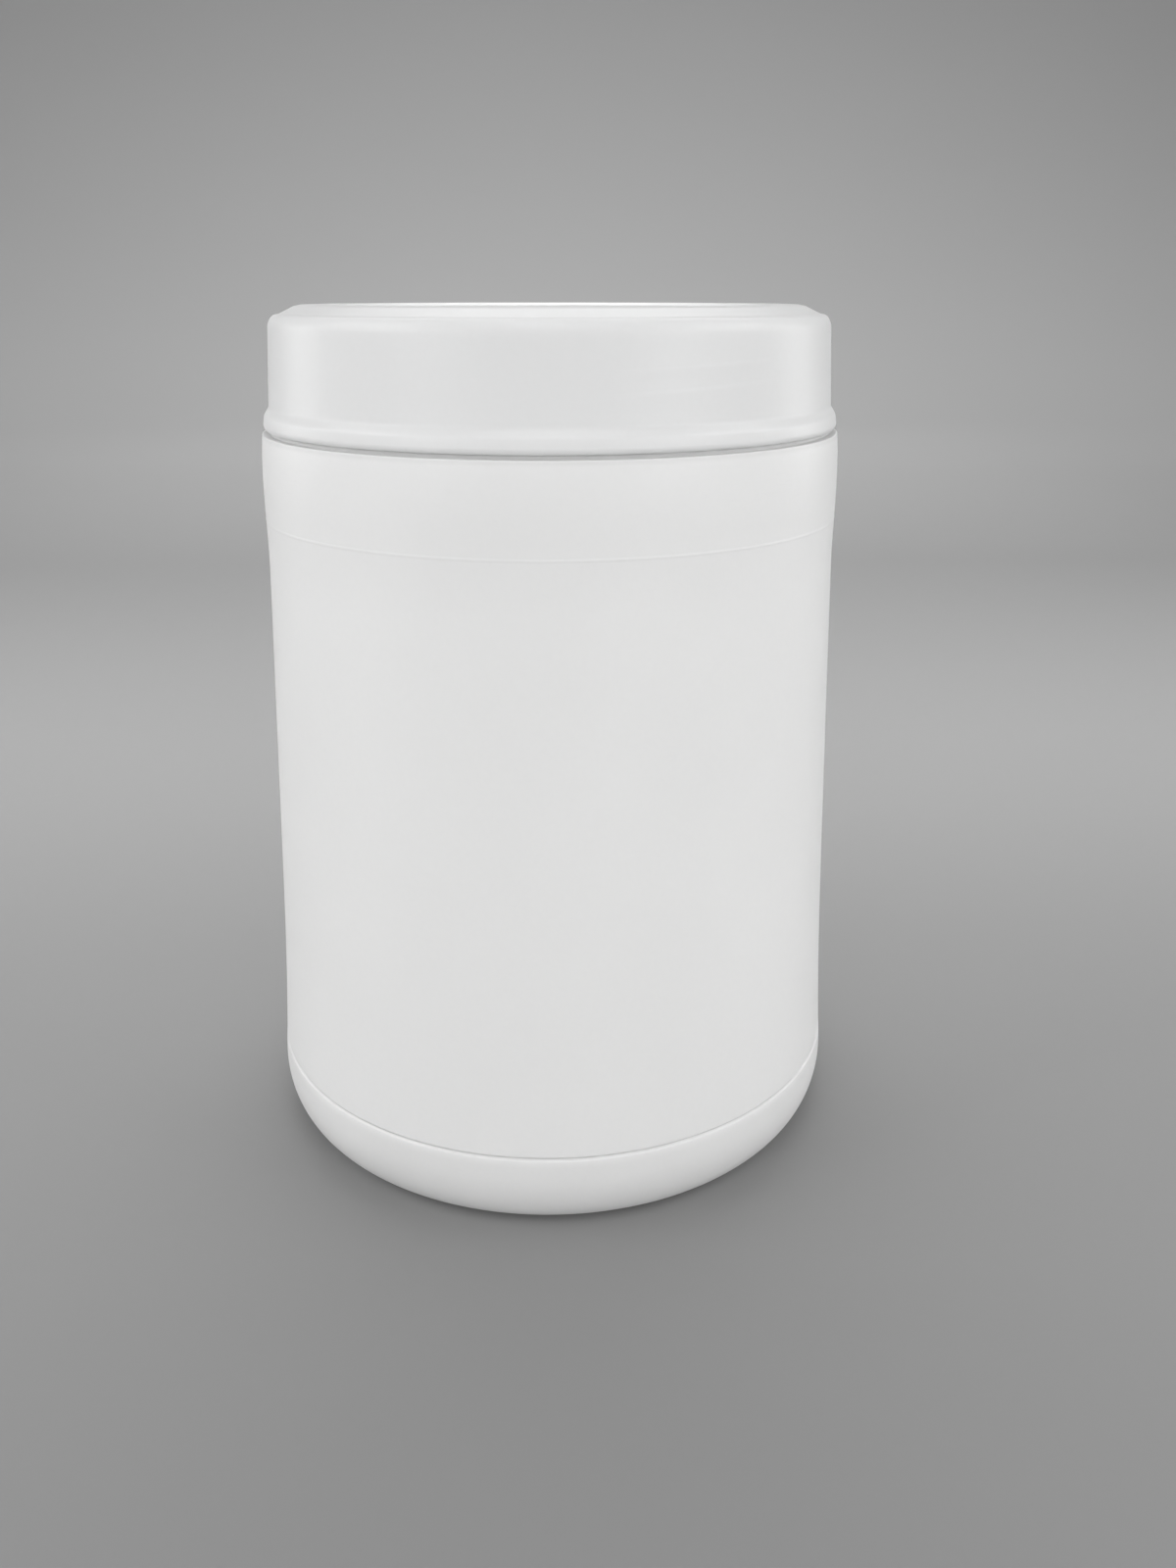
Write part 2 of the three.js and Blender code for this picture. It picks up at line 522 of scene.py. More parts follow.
def uneven_relief() -> Graph:
    """Builds the group that makes a blown wall very slightly uneven between two heights.

    Returns:
        The graph of the group.
    """
    graph = Graph.group("uneven_relief", Tree.GEOMETRY)
    names = ("From Height", "To Height", "Wave Fade", "Wave Size", "Unevenness")
    value = graph.opening(*names, Geometry=Socket.GEOMETRY)
    position = graph.position()
    z = graph.axes(position)["Z"]
    first, last, fade = value["From Height"], value["To Height"], value["Wave Fade"]
    lower = graph.smooth_step(z, first, graph.math("ADD", first, fade))
    upper = graph.smooth_step(z, last, graph.math("SUBTRACT", last, fade))
    waves = graph.swing(position, value["Wave Size"], seed=3.7, detail=1.0)
    height = graph.product(waves, value["Unevenness"], lower, upper)
    return graph.closing("Geometry", Socket.GEOMETRY, relief(graph, value["Geometry"], height))


def thread_relief() -> Graph:
    """Builds the group that lets a hidden, interrupted thread show faintly on the skirt of the lid.

    The runs lie one above the other and climb side by side. Each has a long lower and a short upper flank.

    Returns:
        The graph of the group.
    """
    graph = Graph.group("thread_relief", Tree.GEOMETRY)
    parts = ("Angle", "Height", "Lead", "Spacing", "Runs", "Extent", "Flank", "Rise")
    names = [f"Thread {part}" for part in parts]
    value = graph.opening("Inner Radius", *names, Geometry=Socket.GEOMETRY)
    long_flank, begun_after, ends_from = -2.5, 0.012, 0.6
    x, y, z = graph.axes(graph.position())
    level = {"Vector": graph.joined(x, y, 0.0)}
    radius = graph.add("ShaderNodeVectorMath", level, operation="LENGTH").outputs["Value"]
    outside = graph.math("GREATER_THAN", radius, value["Inner Radius"])
    bearing = graph.math("SUBTRACT", graph.math("ARCTAN2", y, x), value["Thread Angle"])
    turn = graph.math("DIVIDE", graph.math("FLOORED_MODULO", bearing, math.tau), math.tau)
    lowest = graph.math("MULTIPLY_ADD", turn, value["Thread Lead"], value["Thread Height"])
    lift = graph.math("DIVIDE", graph.math("SUBTRACT", z, lowest), value["Thread Spacing"])
    last = graph.math("SUBTRACT", value["Thread Runs"], 1.0)
    nearest = graph.math("MINIMUM", graph.math("MAXIMUM", graph.math("ROUND", lift), 0.0), last)
    offset = graph.math("MULTIPLY", graph.math("SUBTRACT", lift, nearest), value["Thread Spacing"])
    lower = graph.smooth_step(offset, graph.math("MULTIPLY", value["Thread Flank"], long_flank), 0.0)
    upper = graph.smooth_step(offset, value["Thread Flank"], 0.0)
    begun = graph.smooth_step(turn, 0.0, begun_after)
    extent = value["Thread Extent"]
    ended = graph.smooth_step(turn, extent, graph.math("MULTIPLY", extent, ends_from))
    height = graph.product(lower, upper, outside, begun, ended, value["Thread Rise"])
    return graph.closing("Geometry", Socket.GEOMETRY, relief(graph, value["Geometry"], height))


def piece_tree(name: str, turned: Graph, *reliefs: Graph) -> Graph:
    """Builds the geometry tree of a turned piece, with the inputs of all the groups that shape it.

    Args:
        name: The tree's name.
        turned: The group that turns an outline.
        *reliefs: The groups that shape its surface, in their order.

    Returns:
        The graph of the tree.
    """
    graph = Graph.group(name, Tree.GEOMETRY)
    sockets = [item for group in (turned, *reliefs) for item in group.tree.interface.items_tree]
    numbers = dict.fromkeys(item.name for item in sockets if item.socket_type == Socket.FLOAT.value)
    kinds = {"Outline": Socket.GEOMETRY, "Columns": Socket.COUNT, "Material": Socket.MATERIAL}
    value = graph.opening(*numbers, **kinds)
    surface = graph.place(turned, value)
    for shape in reliefs:
        surface = graph.place(shape, {**value, "Geometry": surface})
    real = graph.add("GeometryNodeRealizeInstances", {"Geometry": surface})
    smooth = graph.add("GeometryNodeSetShadeSmooth", {"Geometry": real.outputs[0], "Shade Smooth": True})
    finish = {"Geometry": smooth.outputs[0], "Material": value["Material"]}
    dressed = graph.add("GeometryNodeSetMaterial", finish)
    graph.tree.is_modifier = True
    return graph.closing("Geometry", Socket.GEOMETRY, dressed.outputs[0])


def turned_piece(name: str, outline: list[Vector], graph: Graph, values: dict[str, Any]) -> bpy.types.Object:
    """Turns an outline by a geometry tree and keeps the result as a plain mesh.

    Args:
        name: The piece's name.
        outline: The outline's points, as distances from the axis and heights.
        graph: The tree's graph.
        values: The tree's inputs by name.

    Returns:
        The piece, which stands at the origin.
    """
    start = bpy.data.meshes.new(name)
    points = [(point.x, 0.0, point.y) for point in outline]
    start.from_pydata(points, [(i, i + 1) for i in range(len(points) - 1)], [])
    piece = bpy.data.objects.new(name, start)
    bpy.context.scene.collection.objects.link(piece)
    modifier = piece.modifiers.new("shape", "NODES")
    modifier.node_group = graph.tree
    for item in graph.tree.interface.items_tree:
        if item.in_out == "INPUT" and item.name in values:
            modifier[item.identifier] = values[item.name]
    depsgraph = bpy.context.evaluated_depsgraph_get()
    mesh = bpy.data.meshes.new_from_object(piece.evaluated_get(depsgraph), depsgraph=depsgraph)
    piece.modifiers.remove(modifier)
    piece.data = mesh
    bpy.data.meshes.remove(start)
    mesh.name = name
    return piece


def pigment_mottle() -> Graph:
    """Builds the shader group that makes a moulded colour very slightly uneven, and takes off scuffs and
    painted shade.

    Returns:
        The graph of the group.
    """
    graph = Graph.group("pigment_mottle", Tree.SHADER)
    marks_and_shade = ("Scuffs", "Scuff Darkening", "Soil")
    sizes = ("Cloud Size", "Cloud Amount", "Speck Size", "Speck Amount")
    value = graph.opening(*sizes, *marks_and_shade, Vector=Socket.VECTOR, Colour=Socket.COLOUR)
    clouds = graph.swing(value["Vector"], value["Cloud Size"], seed=1.3, detail=2.0)
    specks = graph.swing(value["Vector"], value["Speck Size"], seed=8.1, detail=1.0)
    shade = graph.math("MULTIPLY_ADD", clouds, value["Cloud Amount"], 1.0)
    shade = graph.math("MULTIPLY_ADD", specks, value["Speck Amount"], shade)
    worn = graph.math("MULTIPLY", value["Scuffs"], value["Scuff Darkening"])
    # Scuffs darken the colour a little, and painted shade darkens it in bands
    shade = graph.math("SUBTRACT", shade, graph.math("ADD", worn, value["Soil"]))
    return graph.closing("Colour", Socket.COLOUR, graph.scaled(value["Colour"], shade))


def edge_scuffs() -> Graph:
    """Builds the shader group that marks fine scuffs in a band round the jar, where it rubs against others.

    Returns:
        The graph of the group.
    """
    graph = Graph.group("edge_scuffs", Tree.SHADER)
    names = ("Height", "Width", "Streak Size", "Streak Thinness", "Scuff Coverage")
    value = graph.opening(*names, Vector=Socket.VECTOR)
    streak_softness, patch_size, patch_start, patch_full = 0.12, 0.011, 0.4, 0.65
    x, y, z = graph.axes(value["Vector"])
    offset = graph.math("ABSOLUTE", graph.math("SUBTRACT", z, value["Height"]))
    band = graph.smooth_step(offset, value["Width"], 0.0)
    stretched = graph.joined(x, y, graph.math("MULTIPLY", z, value["Streak Thinness"]))
    streaks = graph.noise(stretched, value["Streak Size"], seed=5.2, detail=2.0)
    level = graph.math("SUBTRACT", 1.0, value["Scuff Coverage"])
    lines = graph.smooth_step(streaks, level, graph.math("ADD", level, streak_softness))
    clouds = graph.noise(value["Vector"], patch_size, seed=2.9)
    patches = graph.smooth_step(clouds, patch_start, patch_full)
    return graph.closing("Mask", Socket.FLOAT, graph.product(lines, patches, band))


def settled_soil() -> Graph:
    """Builds the shader group that paints shade into a band round a piece, patchy in strength.

    Returns:
        The graph of the group.
    """
    graph = Graph.group("settled_soil", Tree.SHADER)
    names = ("Height", "Width", "Full Width", "Darkening", "Soil Patch Size")
    value = graph.opening(*names, Vector=Socket.VECTOR)
    patchiness = 0.8
    offset = graph.math("SUBTRACT", graph.axes(value["Vector"])["Z"], value["Height"])
    band = graph.smooth_step(graph.math("ABSOLUTE", offset), value["Width"], value["Full Width"])
    patches = graph.noise(value["Vector"], value["Soil Patch Size"], seed=9.3, detail=1.0)
    amount = graph.math("MULTIPLY_ADD", patches, patchiness, 1.0 - patchiness / 2)
    return graph.closing("Soil", Socket.FLOAT, graph.product(band, amount, value["Darkening"]))


def satin_roughness() -> Graph:
    """Builds the shader group that varies a satin finish by soft clouds, fine grain and scuffs.

    Returns:
        The graph of the group.
    """
    graph = Graph.group("satin_roughness", Tree.SHADER)
    sizes = ("Cloud Size", "Grain Size")
    amounts = ("Roughness", "Roughness Cloud Amount", "Roughness Grain Amount", "Scuff Roughness")
    value = graph.opening(*sizes, *amounts, "Scuffs", Vector=Socket.VECTOR)
    clouds = graph.swing(value["Vector"], value["Cloud Size"], seed=6.4, detail=3.0)
    grain = graph.swing(value["Vector"], value["Grain Size"], seed=0.9)
    rough = graph.math("MULTIPLY_ADD", clouds, value["Roughness Cloud Amount"], value["Roughness"])
    rough = graph.math("MULTIPLY_ADD", grain, value["Roughness Grain Amount"], rough)
    rough = graph.math("MULTIPLY_ADD", value["Scuffs"], value["Scuff Roughness"], rough)
    return graph.closing("Roughness", Socket.FLOAT, rough)


def moulded_grain() -> Graph:
    """Builds the shader group for the fine relief that a polished mould leaves.

    It adds up a soft orange peel, a fine grain and faint lines that run round the piece.

    Returns:
        The graph of the group.
    """
    graph = Graph.group("moulded_grain", Tree.SHADER)
    shares = ("Peel Share", "Grain Share", "Line Share")
    sizes = ("Peel Size", "Grain Size", "Line Spacing", "Line Length")
    value = graph.opening(*sizes, *shares, Vector=Socket.VECTOR)
    x, y, z = graph.axes(value["Vector"])
    squeeze = graph.math("DIVIDE", value["Line Length"], value["Line Spacing"])
    level = graph.joined(x, y, graph.math("MULTIPLY", z, squeeze))
    lines = graph.noise(level, value["Line Length"], seed=4.4, detail=1.0)
    peel = graph.noise(value["Vector"], value["Peel Size"], seed=7.7, detail=1.0)
    grain = graph.noise(value["Vector"], value["Grain Size"], seed=2.2)
    height = graph.math("MULTIPLY", peel, value["Peel Share"])
    height = graph.math("MULTIPLY_ADD", grain, value["Grain Share"], height)
    height = graph.math("MULTIPLY_ADD", lines, value["Line Share"], height)
    return graph.closing("Height", Socket.FLOAT, height)


@dataclass
class PlasticGroups:
    """The shader groups that both plastics share."""

    mottle: Graph = field(default_factory=pigment_mottle)
    scuffs: Graph = field(default_factory=edge_scuffs)
    soil: Graph = field(default_factory=settled_soil)
    roughness: Graph = field(default_factory=satin_roughness)
    grain: Graph = field(default_factory=moulded_grain)


@dataclass(frozen=True)
class ScuffedBand:
    """A band of fine scuffs at a height above the floor. It fades out at its width from there."""

    height: float
    width: float


@dataclass(frozen=True)
class PaintedShadeBand:
    """A band of painted shade at a height above the floor, full within one width and gone at another."""

    height: float
    width: float
    full_width: float
    darkening: float


def summed_bands(graph: Graph, group: Graph, bands: tuple[Any, ...], values: dict[str, Any]) -> Any:
    """Adds up what a shader group puts out for several bands round a piece.

    Args:
        graph: The material's graph.
        group: The group, which is placed once for each band.
        bands: The bands.
        values: The other values that the group takes, by name.

    Returns:
        The socket of the sum, or 0 where there is no band.
    """
    total: Any = 0.0
    for band in bands:
        total = graph.math("ADD", graph.place(group, {**values, **named_values(band)}), total)
    return total


@dataclass(frozen=True)
class SatinPlastic:
    """A satin white plastic."""

    name: str
    colour: tuple[float, float, float]
    roughness: float
    scuffed_bands: tuple[ScuffedBand, ...]
    # Bands of painted shade that darken the colour
    soiled_bands: tuple[PaintedShadeBand, ...] = ()
    soil_patch_size: float = 0.013
    cloud_amount: float = 0.035
    speck_amount: float = 0.02
    cloud_size: float = 0.022
    speck_size: float = 0.0009
    roughness_cloud_amount: float = 0.16
    roughness_grain_amount: float = 0.06
    streak_size: float = 0.004
    streak_thinness: float = 14.0
    scuff_coverage: float = 0.44
    scuff_roughness: float = 0.08
    scuff_darkening: float = 0.012
    peel_size: float = 0.0016
    peel_share: float = 0.5
    grain_size: float = 0.00035
    grain_share: float = 0.3
    line_spacing: float = 0.0006
    line_length: float = 0.012
    line_share: float = 0.2
    relief_depth: float = 0.000012
    refraction: float = 1.5
    scatter: float = 0.5
    scatter_reach: float = 0.0012

    def material(self, groups: PlasticGroups) -> bpy.types.Material:
        """Builds the material.

        Args:
            groups: The shared shader groups.

        Returns:
            The material.
        """
        made = bpy.data.materials.new(self.name)
        made.use_nodes = True
        made.diffuse_color = (*self.colour, 1.0)
        made.node_tree.nodes.clear()
        graph = Graph(made.node_tree)
        place = graph.add("ShaderNodeTexCoord").outputs["Object"]
        values = {**named_values(self), "Vector": place, "Colour": (*self.colour, 1.0)}
        values["Scuffs"] = summed_bands(graph, groups.scuffs, self.scuffed_bands, values)
        # Painted shade: the bands darken the colour where shade falls
        values["Soil"] = summed_bands(graph, groups.soil, self.soiled_bands, values)
        relief_values = {"Height": graph.place(groups.grain, values), "Distance": self.relief_depth}
        shader = graph.add(
            "ShaderNodeBsdfPrincipled",
            {
                "Base Color": graph.place(groups.mottle, values),
                "Roughness": graph.place(groups.roughness, values),
                "Normal": graph.add("ShaderNodeBump", relief_values).outputs["Normal"],
                "IOR": self.refraction,
                "Subsurface Weight": self.scatter,
                "Subsurface Radius": (1.0, 1.0, 1.0),
                "Subsurface Scale": self.scatter_reach,
            },
        )
        graph.add("ShaderNodeOutputMaterial", {"Surface": shader.outputs["BSDF"]})
        return made


@dataclass
class JarBody:
    """The blow-moulded jar, from its base to the closed neck inside the lid."""

    radius: float
    neck_top: float
    standing_ring_outer: float = 0.0430
    standing_ring_width: float = 0.0050
    hollow_depth: float = 0.0016
    hollow_side_width: float = 0.0030
    hollow_crown: float = 0.0008
    heel_height: float = 0.0098
    lip_height: float = 0.01285
    lip_drop: float = 0.0001
    groove_height: float = 0.01335
    groove_depth: float = 0.00038
    groove_to_panel: float = 0.00035
    waist_radius: float = 0.0494
    panel_top: float = 0.0990
    foot_flare: float = 0.00045
    foot_flare_from: float = 0.0400
    head_flare: float = 0.00006
    head_flare_from: float = 0.0700
    ring_height: float = 0.1083
    ring_half_width: float = 0.0003
    ring_rise: float = 0.00004
    ring_rounding: float = 0.0008
    shoulder_crest: float = 0.1170
    shoulder_upper_drop: float = 0.0002
    shoulder_edge_radius: float = 0.0002
    ledge_height: float = 0.1228
    seat_radius: float = 0.0485
    seat_rise: float = 0.0005
    neck_radius: float = 0.0455
    neck_chamfer: float = 0.0008
    neck_fillet: float = 0.0007
    small_rounding: float = 0.00015
    heel_steps: int = 30
    panel_steps: int = 20
    columns: int = 384
    crowding: float = 0.75
    plane_angle: float = math.radians(4.0)
    line_height: float = 0.00003
    line_width: float = 0.0005
    seam_height: float = 0.0005
    seam_width: float = 0.0009
    seam_reach: float = 0.0330
    unevenness: float = 0.00012
    wave_size: float = 0.035
    wave_fade: float = 0.008
    seam_clear_share: float = 0.9

    @classmethod
    def from_frame(cls) -> "JarBody":
        """Makes the jar with the overall sizes of its solid."""
        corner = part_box(CadNode.JAR.value)[1]
        return cls(radius=corner.x, neck_top=corner.z)

    def outline(self) -> list[Vector]:
        """Draws the jar's outline from the middle of the base to the middle of the neck's top.

        Returns:
            The outline's points.
        """
        wall = [*self.heel(), *self.groove(), *self.panel(), *self.shoulder()]
        return soften([*self.base(), *wall, *self.neck()])

    def base(self) -> list[Corner]:
        """Draws the shallow hollow inside the standing ring.

        Returns:
            The points from the middle outwards.
        """
        hollow = self.standing_ring_outer - self.standing_ring_width - self.hollow_side_width
        crown = ellipse_arc((0.0, self.hollow_depth), hollow, self.hollow_crown, 90, 0, CURVE_STEPS)
        side = ellipse_arc((hollow, 0.0), self.hollow_side_width, self.hollow_depth, 90, 0, CORNER_STEPS)
        return [*crown[:-1], *side]

    def heel(self) -> list[Corner]:
        """Draws the rounded heel above the standing ring.

        Returns:
            The points from the ring upwards.
        """
        reach = self.radius - self.standing_ring_outer
        centre = (self.standing_ring_outer, self.heel_height)
        return ellipse_arc(centre, reach, self.heel_height, -90, 0, self.heel_steps)

    def groove(self) -> list[Corner]:
        """Draws the nearly upright band above the heel, its lip, and the lower side of the groove.

        Returns:
            The points upwards, as far as the deepest line of the groove.
        """
        widest = (self.radius, self.heel_height)
        lip = (self.radius - self.lip_drop, self.lip_height)
        deepest = (self.radius - self.groove_depth, self.groove_height)
        band = parabola(widest, -self.lip_drop, lip[1], self.heel_height, lip[1], CURVE_STEPS)
        run = eased(lip, deepest, self.lip_height, self.groove_height, CURVE_STEPS)
        return [*band[1:-1], *run[:-1], Corner(*deepest, self.small_rounding)]

    def panel(self) -> list[Corner]:
        """Draws the slightly waisted wall of the label panel.

        Returns:
            The points upwards from the groove's upper edge.
        """
        bottom = self.groove_height + self.groove_to_panel
        foot = (self.waist_radius, self.foot_flare_from)
        head = (self.waist_radius, self.head_flare_from)
        lower = parabola(foot, self.foot_flare, bottom, bottom, self.foot_flare_from, self.panel_steps)
        middle = straight(Corner(*foot), Corner(*head), self.panel_steps)
        top = self.panel_top
        upper = parabola(head, self.head_flare, top, self.head_flare_from, top, self.panel_steps)
        lower[0] = Corner(lower[0].radius, lower[0].height, self.small_rounding)
        return [*lower[:-1], *middle[:-1], *upper]

    def shoulder(self) -> list[Corner]:
        """Draws the bulge above the panel with its thin ring, and its edge below the lid.

        Returns:
            The points upwards and over the edge.
        """
        foot = (self.waist_radius + self.head_flare, self.panel_top)
        crest = (self.radius, self.shoulder_crest)
        ring = self.ring_height
        under, over = ring - self.ring_half_width, ring + self.ring_half_width
        ridge = eased(foot, crest, ring, ring, 1)[0].radius + self.ring_rise
        edge = self.ledge_height - self.shoulder_edge_radius
        centre = (self.radius - self.shoulder_upper_drop - self.shoulder_edge_radius, edge)
        lower = eased(foot, crest, self.panel_top, under, CURVE_STEPS)
        bulge = eased(foot, crest, over, self.shoulder_crest, CURVE_STEPS)
        line = [Corner(ridge, ring), lower.pop(), bulge.pop(0)]
        line = [Corner(end.radius, end.height, self.ring_rounding) for end in line]
        upper = parabola(crest, -self.shoulder_upper_drop, edge, self.shoulder_crest, edge, CURVE_STEPS)
        top = ellipse_arc(centre, self.shoulder_edge_radius, self.shoulder_edge_radius, 0, 90, CURVE_STEPS)
        return [*lower[1:], line[1], line[0], line[2], *bulge, *upper[1:-1], *top]

    def neck(self) -> list[Corner]:
        """Draws the low seat just below the lid's edge, and the neck, which the lid hides.

        Returns:
            The points from the ledge to the middle of the neck's top.
        """
        seat = self.ledge_height + self.seat_rise
        centre = (self.neck_radius + self.neck_fillet, seat + self.neck_fillet)
        return [
            Corner(self.seat_radius, self.ledge_height, self.small_rounding / 2),
            Corner(self.seat_radius - self.seat_rise / 2, seat, self.small_rounding / 2),
            *ellipse_arc(centre, self.neck_fillet, self.neck_fillet, 270, 180, CORNER_STEPS),
            Corner(self.neck_radius, self.neck_top - self.neck_chamfer),
            Corner(self.neck_radius - self.neck_chamfer, self.neck_top),
            Corner(0.0, self.neck_top),
        ]

    def build(self, turned: Graph, material: bpy.types.Material) -> bpy.types.Object:
        """Makes the jar's piece.

        Args:
            turned: The group that turns an outline.
            material: The jar's plastic.

        Returns:
            The piece.
        """
        values = {
            **named_values(self),
            "Clear Below": self.hollow_depth * self.seam_clear_share,
            "From Height": self.groove_height + self.groove_to_panel,
            "To Height": self.ring_height,
            "Material": material,
        }
        tree = piece_tree("jar_body_shape", turned, uneven_relief(), parting_relief())
        return turned_piece("moulded_jar", self.outline(), tree, values)


@dataclass
class ScrewLid:
    """The injection-moulded lid, a cup turned over the neck. Its heights are above its own lower edge."""

    seat: float
    height: float
    wall: float = 0.0460
    ceiling: float = 0.0184
    inner_chamfer: float = 0.0008
    mouth_chamfer: float = 0.0005
    bead_radius: float = 0.04956
    bead_lower_round: float = 0.0007
    bead_lower_rise: float = 0.0010
    bead_face_top: float = 0.0021
    bead_face_draft: float = 0.00014
    bead_top: float = 0.0041
    skirt_lower_radius: float = 0.04858
    skirt_upper_radius: float = 0.04824
    skirt_top: float = 0.0168
    skirt_edge_reach: float = 0.00145
    skirt_edge_rise: float = 0.0024
    step_inner_radius: float = 0.0463
    step_rise: float = 0.00012
    plateau_slope_radius: float = 0.0439
    plateau_slope_drop: float = 0.00025
    plateau_radius: float = 0.0427
    recess_radius: float = 0.0385
    recess_depth: float = 0.0005
    recess_side: float = 0.0009
    top_rounding: float = 0.0006
    gate_radius: float = 0.0022
    gate_depth: float = 0.00025
    gate_nub_radius: float = 0.0006
    gate_nub_foot: float = 0.00078
    gate_nub_height: float = 0.00015
    skirt_steps: int = 90
    columns: int = 384
    thread_angle: float = math.radians(-84.0)
    thread_height: float = 0.0079
    thread_lead: float = 0.0150
    thread_spacing: float = 0.0033
    thread_runs: float = 2.0
    thread_extent: float = 0.135
    thread_flank: float = 0.0006
    thread_rise: float = 0.00003

    @classmethod
    def from_frame(cls) -> "ScrewLid":
        """Makes the lid with the overall sizes of its solid."""
        low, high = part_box(CadNode.LID.value)
        return cls(seat=low.z, height=high.z - low.z)

    def outline(self) -> list[Vector]:
        """Draws the lid's outline from the middle of its ceiling round the skirt to the middle of its top.

        Returns:
            The outline's points, at their heights above the floor.
        """
        corners = soften([*self.inside(), *self.bead(), *self.skirt(), *self.top()])
        return [Vector((corner.x, corner.y + self.seat)) for corner in corners]

    def inside(self) -> list[Corner]:
        """Draws the plain inside, down to the mouth.

        Returns:
            The points from the middle of the ceiling outwards.
        """
        return [
            Corner(0.0, self.ceiling),
            Corner(self.wall - self.inner_chamfer, self.ceiling),
            Corner(self.wall, self.ceiling - self.inner_chamfer),
            Corner(self.wall, self.mouth_chamfer),
            Corner(self.wall + self.mouth_chamfer, 0.0),
        ]

    def bead(self) -> list[Corner]:
        """Draws the bead round the lower edge.

        Returns:
            The points upwards, up to the foot of the skirt.
        """
        reach, rise = self.bead_lower_round, self.bead_lower_rise
        lower = ellipse_arc((self.bead_radius - reach, rise), reach, rise, -90, 0, CURVE_STEPS)
        face_top = (self.bead_radius - self.bead_face_draft, self.bead_face_top)
        foot = (self.skirt_lower_radius, self.bead_top)
        upper = eased(face_top, foot, self.bead_face_top, self.bead_top, CURVE_STEPS)
        return [*lower, *upper[:-1]]

    def skirt(self) -> list[Corner]:
        """Draws the nearly upright skirt, in steps fine enough for the thread's mark."""
        foot = Corner(self.skirt_lower_radius, self.bead_top)
        return straight(foot, Corner(self.skirt_upper_radius, self.skirt_top), self.skirt_steps)[:-1]

    def top(self) -> list[Corner]:
        """Draws the rounded edge, the step, the raised middle with its recess and the gate mark.

        Returns:
            The points from the top of the skirt to the middle.
        """
        reach, rise = self.skirt_edge_reach, self.skirt_edge_rise
        floor = self.height - self.recess_depth
        pit, gate = floor - self.gate_depth, self.gate_radius
        return [
            *ellipse_arc((self.skirt_upper_radius - reach, self.skirt_top), reach, rise, 0, 90, CURVE_STEPS),
            Corner(self.step_inner_radius, self.skirt_top + rise + self.step_rise, self.top_rounding),
            Corner(self.plateau_slope_radius, self.height - self.plateau_slope_drop, self.top_rounding),
            Corner(self.plateau_radius, self.height, self.top_rounding),
            Corner(self.recess_radius, self.height, self.recess_side / 3),
            Corner(self.recess_radius - self.recess_side, floor, self.recess_side / 3),
            *straight(Corner(self.recess_radius / 2, floor), Corner(2 * gate, floor), CORNER_STEPS),
            Corner(gate, floor, self.gate_depth / 2),
            Corner(gate - self.gate_depth, pit, self.gate_depth / 2),
            Corner(self.gate_nub_foot, pit, self.gate_nub_height / 3),
            Corner(self.gate_nub_radius, pit + self.gate_nub_height, self.gate_nub_height / 3),
            Corner(0.0, pit + self.gate_nub_height),
        ]

    def build(self, turned: Graph, material: bpy.types.Material) -> bpy.types.Object:
        """Makes the lid's piece.

        Args:
            turned: The group that turns an outline.
            material: The lid's plastic.

        Returns:
            The piece.
        """
        values = {
            **named_values(self),
            "Inner Radius": (self.wall + self.skirt_upper_radius) / 2,
            "Thread Height": self.seat + self.thread_height,
            "Material": material,
        }
        tree = piece_tree("screw_lid_shape", turned, thread_relief())
        return turned_piece("moulded_lid", self.outline(), tree, values)


@dataclass(frozen=True)
class Softbox:
    """A soft light. Its place and the point that it faces are in metres from the middle of the floor."""

    name: str
    place: Spot
    aim: Spot
    width: float
    height: float
    watts: float
    spread: float = 180.0

    @classmethod
    def round_jar(
        cls,
        name: str,
        bearing: float,
        elevation: float,
        distance: float,
        size: tuple[float, float],
        watts: float,
    ) -> "Softbox":
        """Describes a light that faces the middle of the jar.

        Args:
            name: The light's name.
            bearing: Its direction in degrees from the front, to the right.
            elevation: Its height above the level through the middle of the jar, in degrees.
            distance: Its distance from the middle of the jar.
            size: Its width and its height.
            watts: Its power.

        Returns:
            The light's description.
        """
        turn, rise = math.radians(bearing), math.radians(elevation)
        away = Vector((math.sin(turn) * math.cos(rise), -math.cos(turn) * math.cos(rise), math.sin(rise)))
        return cls(name, tuple(Vector(JAR_MIDDLE) + away * distance), JAR_MIDDLE, *size, watts)

    def build(self) -> bpy.types.Object:
        """Makes the light's object, which the camera does not see.

        Returns:
            The light.
        """
        light = bpy.data.lights.new(self.name, "AREA")
        light.shape = "RECTANGLE"
        light.size, light.size_y = self.width, self.height
        light.energy = self.watts
        light.spread = math.radians(self.spread)
        made = bpy.data.objects.new(self.name, light)
        made.location = self.place
        made.rotation_euler = (Vector(self.place) - Vector(self.aim)).to_track_quat("Z", "Y").to_euler()
        made.visible_camera = False
        bpy.context.scene.collection.objects.link(made)
        return made


